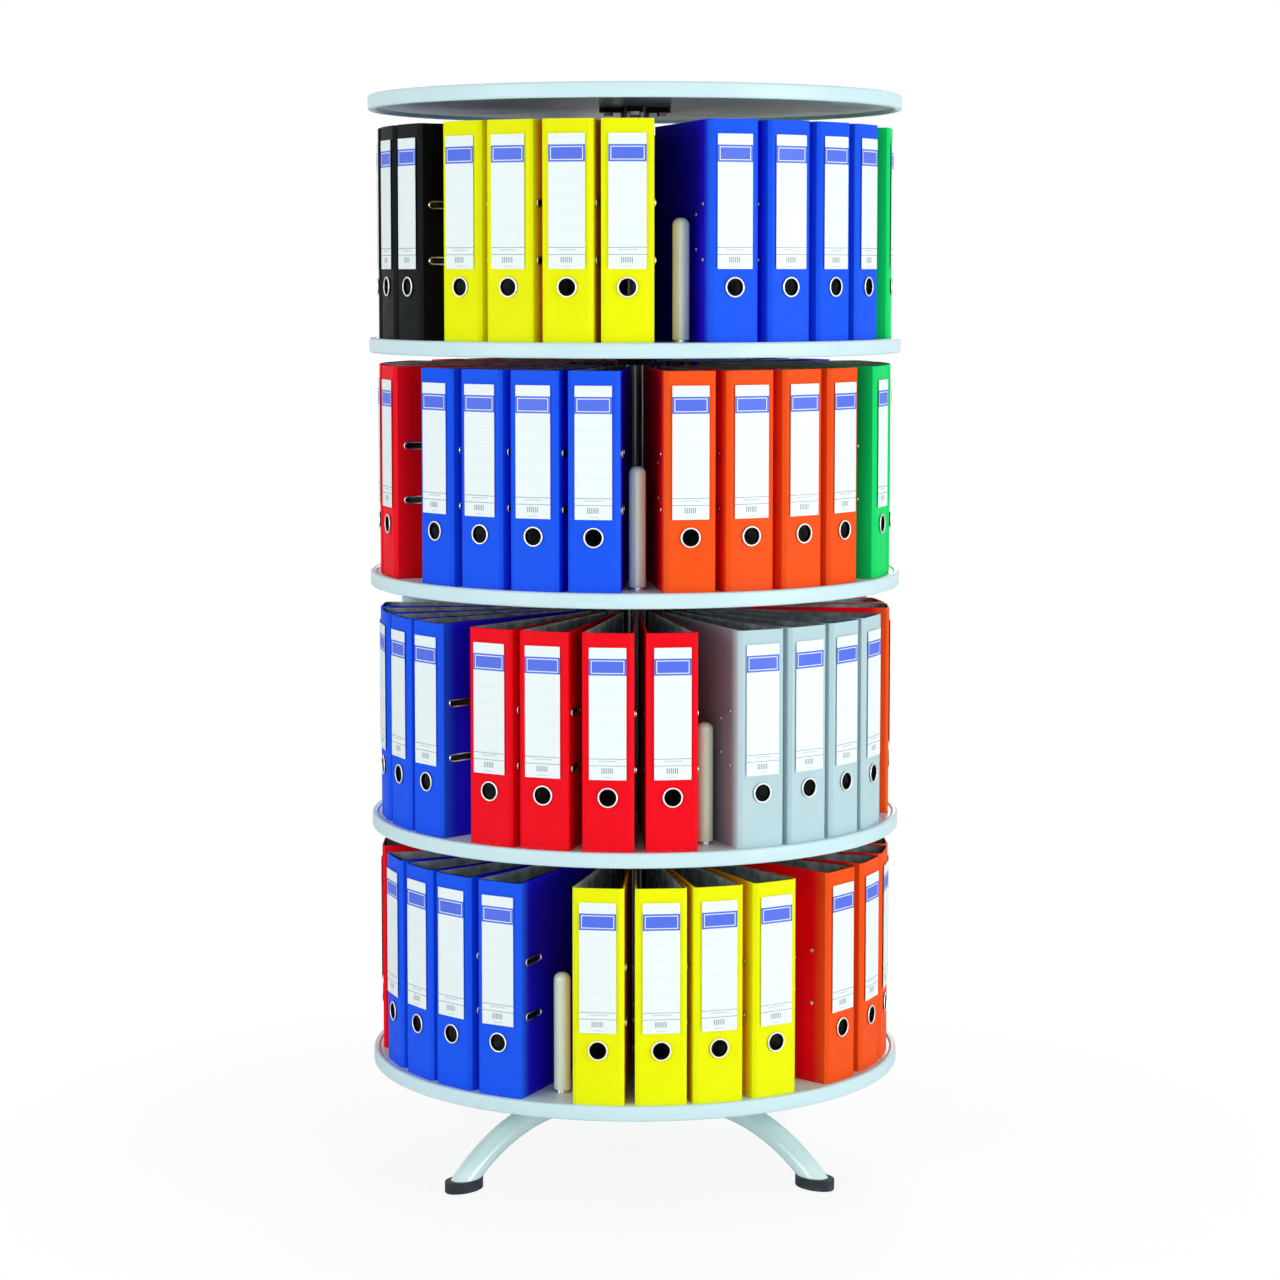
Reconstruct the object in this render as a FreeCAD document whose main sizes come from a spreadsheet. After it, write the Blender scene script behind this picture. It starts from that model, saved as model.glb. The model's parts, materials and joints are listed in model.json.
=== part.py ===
import FreeCAD, Part
import math
import os
import re
import Sketcher

# Rotary filing cabinet: a four-armed foot carries one column, four round shelves turn on the column
# independently of each other, and a fixed round cover closes it at the top. Each shelf holds a ring
# of lever-arch files, in six sections parted by upright stops.
# Millimetres. The origin is on the column's axis at floor level, +Z is up and -Y is the front.

doc = FreeCAD.newDocument("RotaryFilingCabinet")

# ---------------------------------------------------------------- driving dimensions
sizeList = [
    ("discRadius", 410, "outer radius of shelves and cover"),
    ("boardThickness", 14, "shelf board"),
    ("rimWidth", 10, "edge band round a board, measured radially"),
    ("rimLip", 2.5, "edge band standing above the board"),
    ("rimSkirt", 6, "edge band hanging below the board"),
    ("rimRound", 4, "rounding of the edge band's outer edges"),
    ("rimTopLand", 3, "flat top of the edge band inside its rounding"),
    ("groundClearance", 147, "floor to the underside of the lowest board"),
    ("headRoom1", 34.5, "top of the first shelf's files to the cover's board"),
    ("headRoom2", 24, "top of the second shelf's files to the board above"),
    ("headRoom3", 42, "the same on the third shelf"),
    ("headRoom4", 38, "the same on the fourth shelf"),
    ("fileHeight", 320, "lever-arch file, standing"),
    ("fileWidth", 80, "spine width"),
    ("fileDepth", 285, "spine to fore edge"),
    ("fileBoard", 2.4, "board of the file's case"),
    ("fileBevelWidth", 7, "hinge bevel between spine and cover, across the spine"),
    ("fileBevelDepth", 6, "hinge bevel, along the cover"),
    ("fileSetback", 4, "edge band's inner side to the spines"),
    ("fileGap", 3, "least free space between two spines"),
    ("fileTailGap", 2.4, "free space between two files at the column end"),
    ("fingerHoleRadius", 11, "finger hole in the spine"),
    ("fingerHoleHeight", 81, "finger hole's centre above the file's foot"),
    ("eyeletLength", 48, "oval eyelet holes in a file's front cover"),
    ("eyeletWidth", 9, "oval eyelet holes in a file's front cover"),
    ("eyeletSpacing", 82, "oval eyelet holes, middle to middle"),
    ("eyeletSetback", 41, "spine face to the eyelet holes' middle"),
    ("postRadius", 12.5, "upright stop between two sections"),
    ("postHeight", 168, "upright stop without its cap"),
    ("postCapHeight", 12.5, "cap on the stop"),
    ("postCapCrown", 1.5, "flat crown of the cap, radius"),
    ("postFootRadius", 12, "turned foot under the stop"),
    ("postFootHeight", 5, "turned foot, height"),
    ("postSetback", 64, "spine face to the stop's axis"),
    ("postGapAngle", 7.2, "sector kept free for a stop, degrees"),
    ("filePlayMost", 1.1, "a loose file's turn from its even place, the strays' unit, degrees"),
    ("columnRadius", 22.5, "outside of the column tube"),
    ("columnWall", 2, "column tube"),
    ("runningGap", 0.06, "column to bush, radial"),
    ("seatGap", 0.05, "fixed fits, radial"),
    ("thrustGap", 0.2, "bush to the collar it turns on"),
    ("bushWall", 3.5, "bearing bush"),
    ("bushFlange", 3, "thrust flange of the bush, thickness"),
    ("hubWall", 6, "sleeve of the shelf hub"),
    ("hubDrop", 12, "sleeve of a shelf hub, from the board's underside down"),
    ("hubRise", 13, "sleeve of a shelf hub, from the board's underside up"),
    ("hubPlate", 8, "arms of the shelf hub, thickness"),
    ("hubReach", 55, "arms of the shelf hub, from the axis"),
    ("hubArmWidth", 26, "arms of the shelf hub"),
    ("hubRound", 6, "roundings of the arms"),
    ("hubScrewReach", 41, "hub screws, from the axis"),
    ("screwRadius", 4, "hub screw shank"),
    ("screwBite", 11, "hub screw in the board"),
    ("screwHeadRadius", 7.4, "hub screw head, across corners"),
    ("screwHeadHeight", 5.3, "hub screw head"),
    ("collarWall", 6, "collar clamped on the column"),
    ("collarHeight", 11, "collar clamped on the column"),
    ("grubRadius", 2.5, "collar's grub screw"),
    ("baseRadius", 38, "foot hub"),
    ("baseFloor", 8, "floor of the foot hub's socket"),
    ("baseSkirt", 4, "foot hub below the legs"),
    ("plugLength", 30, "threaded plug in the column's end"),
    ("baseBoltRadius", 6, "tie bolt of the column"),
    ("baseBoltHead", 10, "tie bolt's head, across corners, radius"),
    ("baseBoltHeadHeight", 7.5, "tie bolt's head"),
    ("washerRadius", 14, "washer under the tie bolt's head"),
    ("washerHeight", 2.5, "washer under the tie bolt's head"),
    ("legRadius", 18, "leg tube, outside"),
    ("legWall", 2, "leg tube"),
    ("legDrop", 54, "lowest board's underside to the legs' axis"),
    ("legStraight", 165, "straight part of a leg, from the column's axis"),
    ("footReach", 372, "middle of a shoe, from the column's axis"),
    ("legSeatHeight", 9, "end of a leg above the floor"),
    ("shoeHeight", 17, "plastic shoe"),
    ("shoeWall", 3, "plastic shoe round the leg"),
    ("shoeRound", 2.5, "rounding of the shoe's foot"),
    ("baseAngle", 1.5, "foot turned about the column, degrees"),
    ("shelfAngle1", 11.5, "first shelf from the top turned about the column, degrees"),
    ("shelfAngle2", 0.6, "second shelf"),
    ("shelfAngle3", 17.9, "third shelf"),
    ("shelfAngle4", -18.9, "fourth shelf"),
]

sheet = doc.addObject("Spreadsheet::Sheet", "Sizes")
for row, (alias, value, note) in enumerate(sizeList, start=1):
    sheet.set(f"A{row}", note)
    sheet.set(f"B{row}", str(value))
    sheet.setAlias(f"B{row}", alias)
doc.recompute()
aliases = {alias for alias, value, note in sizeList}


def bound(text):
    """An expression in which every size's name points at its cell."""
    return re.sub(r"[A-Za-z]\w*", lambda word: "Sizes." + word[0] if word[0] in aliases else word[0], text)


def plain(text):
    """The present value of an expression."""
    return float(sheet.evalExpression(bound(str(text))))


# ---------------------------------------------------------------- lengths that follow from them
boardRadius = "(discRadius - rimWidth)"
boardTop = "boardThickness"
spineReach = "(discRadius - rimWidth - fileSetback)"
postReach = f"({spineReach} - postSetback)"
bushOuter = "(columnRadius + runningGap + bushWall)"
hubBore = f"({bushOuter} + seatGap)"
hubSleeve = f"({hubBore} + hubWall)"
bushDrop = "(hubDrop + bushFlange)"
collarDrop = f"({bushDrop} + thrustGap)"
collarRadius = "(columnRadius + seatGap + collarWall)"
legAxis = "(groundClearance - legDrop)"
baseTop = f"(groundClearance - {collarDrop})"
baseBottom = f"({legAxis} - legRadius - baseSkirt)"
columnFoot = f"({baseBottom} + baseFloor)"
legRun = "(footReach - legStraight)"
legFall = f"({legAxis} - (legSeatHeight + shoeHeight) / 2)"
legBend = f"(({legRun} * {legRun} + {legFall} * {legFall}) / (2 * {legFall}))"
legSteepness = f"({legRun} / {legBend})"

quarters = 4
sections = 6
shelves = 4
quarterAngle = 360 / quarters
sectionAngle = 360 / sections
halfSpine = plain("fileWidth / 2 + fileGap / 2")
filePitchLeast = 2 * math.degrees(math.atan(halfSpine / plain(f"{spineReach} - fileBevelDepth")))
filesPerSection = int((sectionAngle - plain("postGapAngle")) / filePitchLeast)
filePitch = f"(({sectionAngle} - postGapAngle) / {filesPerSection})"
filePlay = f"min(filePlayMost; {filePitch} - {filePitchLeast})"
tailHalf = f"(({spineReach} - fileDepth) * tan({filePitchLeast} / 2) - fileTailGap / 2)"

# The files of a section are of one colour. Each shelf has four colours, and the letters give the
# order of its sections, counted from the front stop towards +X.
sectionOrder = "ABCADC"

# The files stand loose, so none is quite at its even place. Each section's four numbers turn its
# files round the shelf, as shares of the play that two of them have.
fileStrays = {
    1: {"A": (-0.5, -0.2, -0.2, 0.0), "B": (0.4, 0.3, 0.6, 0.2),
        "C": (-1.5, -2.2, -2.2, -2.7), "D": (0.6, 0.9, 1.2, 0.4)},
    2: {"A": (0.8, 1.1, 1.3, 1.1), "B": (0.3, 0.6, 0.2, 0.4),
        "C": (1.0, 1.2, 1.0, 0.9), "D": (-0.4, -0.9, -1.1, -1.5)},
    3: {"A": (-0.1, -0.9, -1.7, -1.8), "B": (0.5, 0.2, 0.4, -0.2),
        "C": (-0.6, -1.0, -0.2, 0.2), "D": (0.2, 0.7, 1.1, 0.5)},
    4: {"A": (0.8, 1.0, 0.4, 0.7), "B": (0.5, 1.0, 0.8, 0.3),
        "C": (-0.7, -0.4, -1.2, -1.4), "D": (0.3, -0.3, 0.4, 0.1)},
}
shelfColours = {
    1: {"A": "blue", "B": "green", "C": "yellow", "D": "black"},
    2: {"A": "orange", "B": "green", "C": "blue", "D": "red"},
    3: {"A": "grey", "B": "orange", "C": "red", "D": "blue"},
    4: {"A": "yellow", "B": "orange", "C": "blue", "D": "red"},
}

kept = []


# ---------------------------------------------------------------- drawing helpers
def keep(item, label):
    """Mark an object as a piece of the cabinet, named by its label."""
    item.Label = label
    kept.append(item)
    return item


def place(item, height="0", angle="0", across="0", along="0"):
    """Bind an object's place: a point given in its own turned frame, and a turn about the column."""
    item.setExpression(
        "Placement",
        bound(
            f"placement(rotation(vector(0; 0; 1); {angle}) * vector({across}; {along}; {height});"
            f" rotation(vector(0; 0; 1); {angle}))"
        ),
    )
    return item


def newBody(name):
    body = doc.addObject("PartDesign::Body", name)
    body.AllowCompound = True
    return body


def newSketch(body, role, offset=None):
    """A sketch on one of the body's own planes, moved along the plane's normal where offset says so."""
    plane = next(part for part in body.Origin.OriginFeatures if part.Role == role)
    sketch = body.newObject("Sketcher::SketchObject", "Sketch")
    sketch.AttachmentSupport = [(plane, "")]
    sketch.MapMode = "FlatFace"
    if offset is not None:
        sketch.setExpression(".AttachmentOffset.Base.z", bound(offset))
    return sketch


def dimension(sketch, constraint, expression):
    index = sketch.addConstraint(constraint)
    sketch.setExpression(f"Constraints[{index}]", bound(expression))


def pin(sketch, curve, end, across, up):
    """Hold one point of a curve at a distance from the sketch's origin."""
    dimension(sketch, Sketcher.Constraint("DistanceX", -1, 1, curve, end, plain(across)), across)
    dimension(sketch, Sketcher.Constraint("DistanceY", -1, 1, curve, end, plain(up)), up)


def drawOutline(sketch, corners):
    """A closed outline of straight lines through corners given as expressions."""
    points = [FreeCAD.Vector(plain(across), plain(up), 0) for across, up in corners]
    first = sketch.GeometryCount
    count = len(points)
    for number, point in enumerate(points):
        sketch.addGeometry(Part.LineSegment(point, points[(number + 1) % count]), False)
    for number, (across, up) in enumerate(corners):
        line = first + number
        following = first + (number + 1) % count
        sketch.addConstraint(Sketcher.Constraint("Coincident", line, 2, following, 1))
        pin(sketch, line, 1, across, up)


def drawSlot(sketch, length, width, across, up):
    """A level slot with half-round ends."""
    radius = f"({width}) / 2"
    reach = f"(({length}) - ({width})) / 2"
    first = sketch.GeometryCount
    ends = [(f"{across} - {reach}", 1), (f"{across} + {reach}", -1)]
    for centre, side in ends:
        middle = FreeCAD.Vector(plain(centre), plain(up), 0)
        circle = Part.Circle(middle, FreeCAD.Vector(0, 0, 1), plain(radius))
        start = side * math.pi / 2
        arc = sketch.addGeometry(Part.ArcOfCircle(circle, start, start + math.pi), False)
        pin(sketch, arc, 3, centre, up)
        dimension(sketch, Sketcher.Constraint("Radius", arc, plain(radius)), radius)
    for start, finish in ((first, first + 1), (first + 1, first)):
        begin = sketch.Geometry[start].EndPoint
        line = sketch.addGeometry(Part.LineSegment(begin, sketch.Geometry[finish].StartPoint), False)
        sketch.addConstraint(Sketcher.Constraint("Tangent", start, 2, line, 1))
        sketch.addConstraint(Sketcher.Constraint("Coincident", line, 2, finish, 1))


def drawCircle(sketch, radius, across="0", up="0"):
    centre = FreeCAD.Vector(plain(across), plain(up), 0)
    circle = sketch.addGeometry(Part.Circle(centre, FreeCAD.Vector(0, 0, 1), plain(radius)), False)
    pin(sketch, circle, 3, across, up)
    dimension(sketch, Sketcher.Constraint("Radius", circle, plain(radius)), radius)


def pad(body, sketch, length, downwards=False):
    feature = body.newObject("PartDesign::Pad", "Pad")
    feature.Profile = sketch
    feature.setExpression("Length", bound(length))
    feature.Reversed = downwards
    sketch.Visibility = False
    return feature


def pocket(body, sketch, length=None, upwards=False, symmetric=False):
    """Cut a sketch out of the body, right through where no length is given."""
    feature = body.newObject("PartDesign::Pocket", "Pocket")
    feature.Profile = sketch
    if length is None:
        feature.Type = "ThroughAll"
    else:
        feature.setExpression("Length", bound(length))
    if symmetric:
        feature.SideType = "Symmetric"
    feature.Reversed = upwards
    sketch.Visibility = False
    return feature


def revolve(body, sketch):
    feature = body.newObject("PartDesign::Revolution", "Revolution")
    feature.Profile = sketch
    feature.ReferenceAxis = (sketch, ["V_Axis"])
    feature.Angle = 360
    sketch.Visibility = False
    return feature


def turnPattern(body, feature, count):
    """Repeat a feature round the body's vertical axis."""
    axis = next(part for part in body.Origin.OriginFeatures if part.Role == "Z_Axis")
    pattern = body.newObject("PartDesign::PolarPattern", "PolarPattern")
    pattern.Originals = [feature]
    pattern.Axis = (axis, [""])
    pattern.Angle = 360
    pattern.Occurrences = count
    body.Tip = pattern
    return pattern


def roundEdges(body, feature, radius, wanted):
    """Fillet the edges whose middle passes the test."""
    doc.recompute()
    names = []
    for number, edge in enumerate(feature.Shape.Edges, start=1):
        middle = edge.valueAt((edge.FirstParameter + edge.LastParameter) / 2)
        if wanted(edge, middle):
            names.append(f"Edge{number}")
    fillet = body.newObject("PartDesign::Fillet", "Fillet")
    fillet.Base = (feature, names)
    fillet.setExpression("Radius", bound(radius))
    return fillet


def near(value, expression):
    return abs(value - plain(expression)) < 0.01


def group(label, links):
    """Separate solids of one kind as one piece."""
    compound = doc.addObject("Part::Compound", "Group")
    compound.Links = links
    return keep(compound, label)


def copyOf(master, **where):
    """A further copy of a master piece at a place of its own."""
    link = doc.addObject("App::Link", "Copy")
    link.LinkedObject = master
    link.LinkTransform = True
    return place(link, **where)


def shelfHeight(number):
    """The underside of a shelf's board. Shelf 1 is the highest, and 0 is the cover."""
    levels = [f" + {boardTop} + fileHeight + headRoom{level}" for level in range(number + 1, shelves + 1)]
    return f"(groundClearance{''.join(levels)})"


# ---------------------------------------------------------------- discs
def makeBoard(label, height, angle, hubHole):
    """A round board with blind holes for the hub screws and, on a shelf, a hole for the hub's sleeve."""
    body = newBody("Board")
    sketch = newSketch(body, "XY_Plane")
    drawCircle(sketch, boardRadius)
    if hubHole:
        drawCircle(sketch, f"{hubSleeve} + seatGap")
    pad(body, sketch, boardTop)
    holes = newSketch(body, "XY_Plane")
    drawCircle(holes, "screwRadius", across="hubScrewReach")
    turnPattern(body, pocket(body, holes, length="screwBite", upwards=True), quarters)
    return keep(place(body, height=height, angle=angle), label)


def makeRim(label, height, angle):
    """The moulded edge band. Its lip stands above the board and its skirt hangs below it."""
    body = newBody("Rim")
    sketch = newSketch(body, "XZ_Plane")
    rimTop = "boardThickness + rimLip"
    drawOutline(sketch, [
        (boardRadius, "-rimSkirt"),
        ("discRadius", "-rimSkirt"),
        ("discRadius", rimTop),
        ("discRadius - rimRound - rimTopLand", rimTop),
        (boardRadius, boardTop),
    ])
    band = revolve(body, sketch)

    def outerEdge(edge, middle):
        return near(math.hypot(middle.x, middle.y), "discRadius") and edge.Closed

    roundEdges(body, band, "rimRound", outerEdge)
    return keep(place(body, height=height, angle=angle), label)


# ---------------------------------------------------------------- shelf hub and bearing
def makeHub(label, height, angle, bore, sleeved):
    """The cross under a board: four arms, each with a screw hole, and on a shelf a sleeve through it."""
    body = newBody("Hub")
    halfArm = "hubArmWidth / 2"
    sketch = newSketch(body, "XY_Plane")
    drawOutline(sketch, [
        ("hubReach", f"-{halfArm}"),
        ("hubReach", halfArm),
        (halfArm, halfArm),
        (halfArm, "hubReach"),
        (f"-{halfArm}", "hubReach"),
        (f"-{halfArm}", halfArm),
        ("-hubReach", halfArm),
        ("-hubReach", f"-{halfArm}"),
        (f"-{halfArm}", f"-{halfArm}"),
        (f"-{halfArm}", "-hubReach"),
        (halfArm, "-hubReach"),
        (halfArm, f"-{halfArm}"),
    ])
    cross = pad(body, sketch, "hubPlate", downwards=True)

    def armEnd(edge, middle):
        upright = abs(edge.tangentAt(edge.FirstParameter).z) > 0.9
        return upright and max(abs(middle.x), abs(middle.y)) > plain("hubReach") - 0.01

    roundEdges(body, cross, "hubRound", armEnd)
    if sleeved:
        sleeve = newSketch(body, "XY_Plane", offset="hubRise")
        drawCircle(sleeve, hubSleeve)
        pad(body, sleeve, "hubRise + hubDrop", downwards=True)
    opening = newSketch(body, "XY_Plane", offset="hubRise")
    drawCircle(opening, bore)
    pocket(body, opening)
    holes = newSketch(body, "XY_Plane")
    drawCircle(holes, "screwRadius + seatGap", across="hubScrewReach")
    turnPattern(body, pocket(body, holes), quarters)
    return keep(place(body, height=height, angle=angle), label)


def makeBush(label, height, angle):
    """The bearing bush: it runs on the column, and its flange turns on the collar below."""
    body = newBody("Bush")
    sketch = newSketch(body, "XZ_Plane")
    bushBore = "columnRadius + runningGap"
    drawOutline(sketch, [
        (bushBore, f"-{bushDrop}"),
        (hubSleeve, f"-{bushDrop}"),
        (hubSleeve, "-hubDrop"),
        (bushOuter, "-hubDrop"),
        (bushOuter, "hubRise"),
        (bushBore, "hubRise"),
    ])
    revolve(body, sketch)
    return keep(place(body, height=height, angle=angle), label)


def makeHubScrew():
    """A hexagon screw, with its head under the hub's arm and its shank in the board."""
    head = doc.addObject("Part::Prism", "ScrewHead")
    head.Polygon = 6
    head.setExpression("Circumradius", bound("screwHeadRadius"))
    head.setExpression("Height", bound("screwHeadHeight"))
    head.setExpression(".Placement.Base.z", bound("-hubPlate - screwHeadHeight"))
    shank = doc.addObject("Part::Cylinder", "ScrewShank")
    shank.setExpression("Radius", bound("screwRadius - seatGap"))
    shank.setExpression("Height", bound("hubPlate + screwBite - thrustGap"))
    shank.setExpression(".Placement.Base.z", bound("-hubPlate"))
    screw = doc.addObject("Part::MultiFuse", "Screw")
    screw.Shapes = [head, shank]
    return screw


# ---------------------------------------------------------------- upright stops
def makePost():
    """A round stop with a turned foot of smaller diameter."""
    body = newBody("Post")
    sketch = newSketch(body, "XZ_Plane")
    drawOutline(sketch, [
        ("0", "0"),
        ("postFootRadius", "0"),
        ("postFootRadius", "postFootHeight"),
        ("postRadius", "postFootHeight"),
        ("postRadius", "postHeight"),
        ("0", "postHeight"),
    ])
    revolve(body, sketch)
    return body


def makePostCap():
    """The domed cap of a stop: an arc from its side to a small flat crown."""
    body = newBody("PostCap")
    sketch = newSketch(body, "XZ_Plane")
    drawOutline(sketch, [
        ("0", "0"),
        ("postRadius", "0"),
        ("postRadius", "postCapHeight"),
        ("0", "postCapHeight"),
    ])
    cap = revolve(body, sketch)

    def topEdge(edge, middle):
        return edge.Closed and near(middle.z, "postCapHeight")

    roundEdges(body, cap, "min(postRadius - postCapCrown; postCapHeight - seatGap)", topEdge)
    return body


# ---------------------------------------------------------------- files
def makeFile():
    """The case of a lever-arch file: one folded board, spine outwards, covers drawn together
    towards the column, open at the top, the bottom and the fore edge."""
    body = newBody("File")
    sketch = newSketch(body, "XY_Plane")
    spine = f"-{spineReach}"
    tail = f"{spine} + fileDepth"
    hinge = f"{spine} + fileBevelDepth"
    flat = "fileWidth / 2 - fileBevelWidth"
    drawOutline(sketch, [
        (f"-({flat})", spine),
        (flat, spine),
        ("fileWidth / 2", hinge),
        (tailHalf, tail),
        (f"-{tailHalf}", tail),
        ("-fileWidth / 2", hinge),
    ])
    block = pad(body, sketch, "fileHeight")
    doc.recompute()
    openFaces = []
    for number, face in enumerate(block.Shape.Faces, start=1):
        middle = face.CenterOfMass
        endFace = near(middle.z, "0") or near(middle.z, "fileHeight")
        if endFace or near(middle.y, tail):
            openFaces.append(f"Face{number}")
    shell = body.newObject("PartDesign::Thickness", "Shell")
    shell.Base = (block, openFaces)
    shell.setExpression("Value", bound("fileBoard"))
    shell.Reversed = True
    shell.Join = "Intersection"
    doc.recompute()
    hole = newSketch(body, "XZ_Plane", offset=f"{spineReach} - 2 * fileBoard")
    drawCircle(hole, "fingerHoleRadius", up="fingerHoleHeight")
    pocket(body, hole, length="3 * fileBoard", upwards=True)
    eyelets = newSketch(body, "YZ_Plane")
    across = f"{spine} + eyeletSetback"
    for up in ("fileHeight / 2 - eyeletSpacing / 2", "fileHeight / 2 + eyeletSpacing / 2"):
        drawSlot(eyelets, "eyeletLength", "eyeletWidth", across, up)
    pocket(body, eyelets, upwards=True)
    return body


# ---------------------------------------------------------------- foot
def makeLeg(label, angle):
    """A bent tube: level at the hub, then an even arc down to the shoe, cut level at its end."""
    body = newBody("Leg")
    start = "baseRadius - legRadius"
    path = newSketch(body, "XZ_Plane")
    startPoint = FreeCAD.Vector(plain(start), 0, 0)
    bendPoint = FreeCAD.Vector(plain("legStraight"), 0, 0)
    centre = FreeCAD.Vector(plain("legStraight"), -plain(legBend), 0)
    reach = math.acos(1 - plain(legAxis) / plain(legBend))
    path.addGeometry(Part.LineSegment(startPoint, bendPoint), False)
    circle = Part.Circle(centre, FreeCAD.Vector(0, 0, 1), plain(legBend))
    path.addGeometry(Part.ArcOfCircle(circle, math.pi / 2 - reach, math.pi / 2), False)
    pin(path, 0, 1, start, "0")
    pin(path, 0, 2, "legStraight", "0")
    path.addConstraint(Sketcher.Constraint("Coincident", 1, 2, 0, 2))
    pin(path, 1, 3, "legStraight", f"-{legBend}")
    dimension(path, Sketcher.Constraint("DistanceY", -1, 1, 1, 1, -plain(legAxis)), f"-{legAxis}")
    ring = newSketch(body, "YZ_Plane", offset=start)
    drawCircle(ring, "legRadius")
    drawCircle(ring, "legRadius - legWall")
    doc.recompute()
    tube = body.newObject("PartDesign::AdditivePipe", "Tube")
    tube.Profile = ring
    tube.Spine = (path, ["Edge1", "Edge2"])
    tube.Transition = "Transformed"
    path.Visibility = False
    ring.Visibility = False
    cope = newSketch(body, "XY_Plane")
    drawCircle(cope, "baseRadius")
    pocket(body, cope, length="4 * legRadius", symmetric=True)
    endCut = newSketch(body, "XZ_Plane")
    seat = f"legSeatHeight - {legAxis}"
    below = f"{seat} - 4 * legRadius"
    drawOutline(endCut, [
        ("legStraight", below),
        ("footReach + 6 * legRadius", below),
        ("footReach + 6 * legRadius", seat),
        ("legStraight", seat),
    ])
    pocket(body, endCut, length="4 * legRadius", symmetric=True)
    return keep(place(body, height=legAxis, angle=angle), label)


def makeShoe(leg):
    """An oval shoe round the cut end of a leg, with the leg's own wall cut out of it."""
    body = newBody("ShoeBlank")
    halfWidth = "legRadius + shoeWall"
    lean = f"(shoeHeight - legSeatHeight) / 2 * sqrt(1 - {legSteepness} ^ 2) / {legSteepness}"
    halfLength = f"legRadius / {legSteepness} + {lean} + shoeWall"
    sketch = newSketch(body, "XY_Plane")
    centre = FreeCAD.Vector(plain("footReach"), 0, 0)
    end = FreeCAD.Vector(plain(f"footReach + {halfLength}"), 0, 0)
    side = FreeCAD.Vector(plain("footReach"), plain(halfWidth), 0)
    oval = sketch.addGeometry(Part.Ellipse(end, side, centre), False)
    sketch.exposeInternalGeometry(oval)
    pin(sketch, oval, 3, "footReach", "0")
    majorAxis = oval + 1
    minorAxis = oval + 2
    sketch.addConstraint(Sketcher.Constraint("Horizontal", majorAxis))
    dimension(sketch, Sketcher.Constraint("Distance", majorAxis, plain(f"2 * ({halfLength})")),
              f"2 * ({halfLength})")
    dimension(sketch, Sketcher.Constraint("Distance", minorAxis, plain(f"2 * ({halfWidth})")),
              f"2 * ({halfWidth})")
    blank = pad(body, sketch, "shoeHeight")
    roundEdges(body, blank, "shoeRound", lambda edge, middle: near(middle.z, "0"))
    inFrame = place(body, angle="baseAngle - 45")
    shoe = doc.addObject("Part::Cut", "Shoe")
    shoe.Base = inFrame
    shoe.Tool = leg
    return shoe


def makeBaseHub():
    """The socket that the legs are welded to. Its top carries the lowest shelf."""
    body = newBody("BaseHub")
    sketch = newSketch(body, "XZ_Plane")
    boltHole = "baseBoltRadius + seatGap"
    socket = "columnRadius + seatGap"
    drawOutline(sketch, [
        (boltHole, baseBottom),
        ("baseRadius", baseBottom),
        ("baseRadius", baseTop),
        (socket, baseTop),
        (socket, columnFoot),
        (boltHole, columnFoot),
    ])
    revolve(body, sketch)
    return keep(place(body, angle="baseAngle"), "base_hub")


def makeColumn():
    body = newBody("Column")
    sketch = newSketch(body, "XY_Plane")
    drawCircle(sketch, "columnRadius")
    drawCircle(sketch, "columnRadius - columnWall")
    pad(body, sketch, f"{shelfHeight(0)} - {columnFoot}")
    return keep(place(body, height=columnFoot), "column_tube")


def makeColumnPlug():
    """A threaded plug fixed in the column's lower end."""
    body = newBody("Plug")
    sketch = newSketch(body, "XY_Plane")
    drawCircle(sketch, "columnRadius - columnWall - seatGap")
    drawCircle(sketch, "baseBoltRadius + seatGap")
    pad(body, sketch, "plugLength")
    return keep(place(body, height=columnFoot), "column_plug")


def makeBaseBolt():
    """The tie bolt that draws the column into its socket, with its washer."""
    head = doc.addObject("Part::Prism", "BoltHead")
    head.Polygon = 6
    head.setExpression("Circumradius", bound("baseBoltHead"))
    head.setExpression("Height", bound("baseBoltHeadHeight"))
    washer = doc.addObject("Part::Cylinder", "Washer")
    washer.setExpression("Radius", bound("washerRadius"))
    washer.setExpression("Height", bound("washerHeight"))
    washer.setExpression(".Placement.Base.z", bound("baseBoltHeadHeight"))
    shank = doc.addObject("Part::Cylinder", "BoltShank")
    shank.setExpression("Radius", bound("baseBoltRadius"))
    shank.setExpression("Height", bound("baseBoltHeadHeight + washerHeight + baseFloor + plugLength"))
    bolt = doc.addObject("Part::MultiFuse", "Bolt")
    bolt.Shapes = [head, washer, shank]
    return keep(place(bolt, height=f"{baseBottom} - washerHeight - baseBoltHeadHeight"), "base_bolt")


def makeCollar():
    """A ring on the column with a threaded hole for its grub screw."""
    body = newBody("Collar")
    sketch = newSketch(body, "XY_Plane")
    drawCircle(sketch, collarRadius)
    drawCircle(sketch, "columnRadius + seatGap")
    pad(body, sketch, "collarHeight", downwards=True)
    hole = newSketch(body, "YZ_Plane")
    drawCircle(hole, "grubRadius + seatGap", up="-collarHeight / 2")
    pocket(body, hole, length=f"{collarRadius} + 1", upwards=True)
    return body


def makeGrubScrew():
    """A grub screw, flush with the collar and tight on the column."""
    screw = doc.addObject("Part::Cylinder", "GrubScrew")
    screw.setExpression("Radius", bound("grubRadius"))
    screw.setExpression("Height", bound("collarWall"))
    screw.Placement.Rotation = FreeCAD.Rotation(FreeCAD.Vector(0, 1, 0), 90)
    screw.setExpression(".Placement.Base.x", bound("columnRadius + seatGap"))
    screw.setExpression(".Placement.Base.z", bound("-collarHeight / 2"))
    return screw


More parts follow.
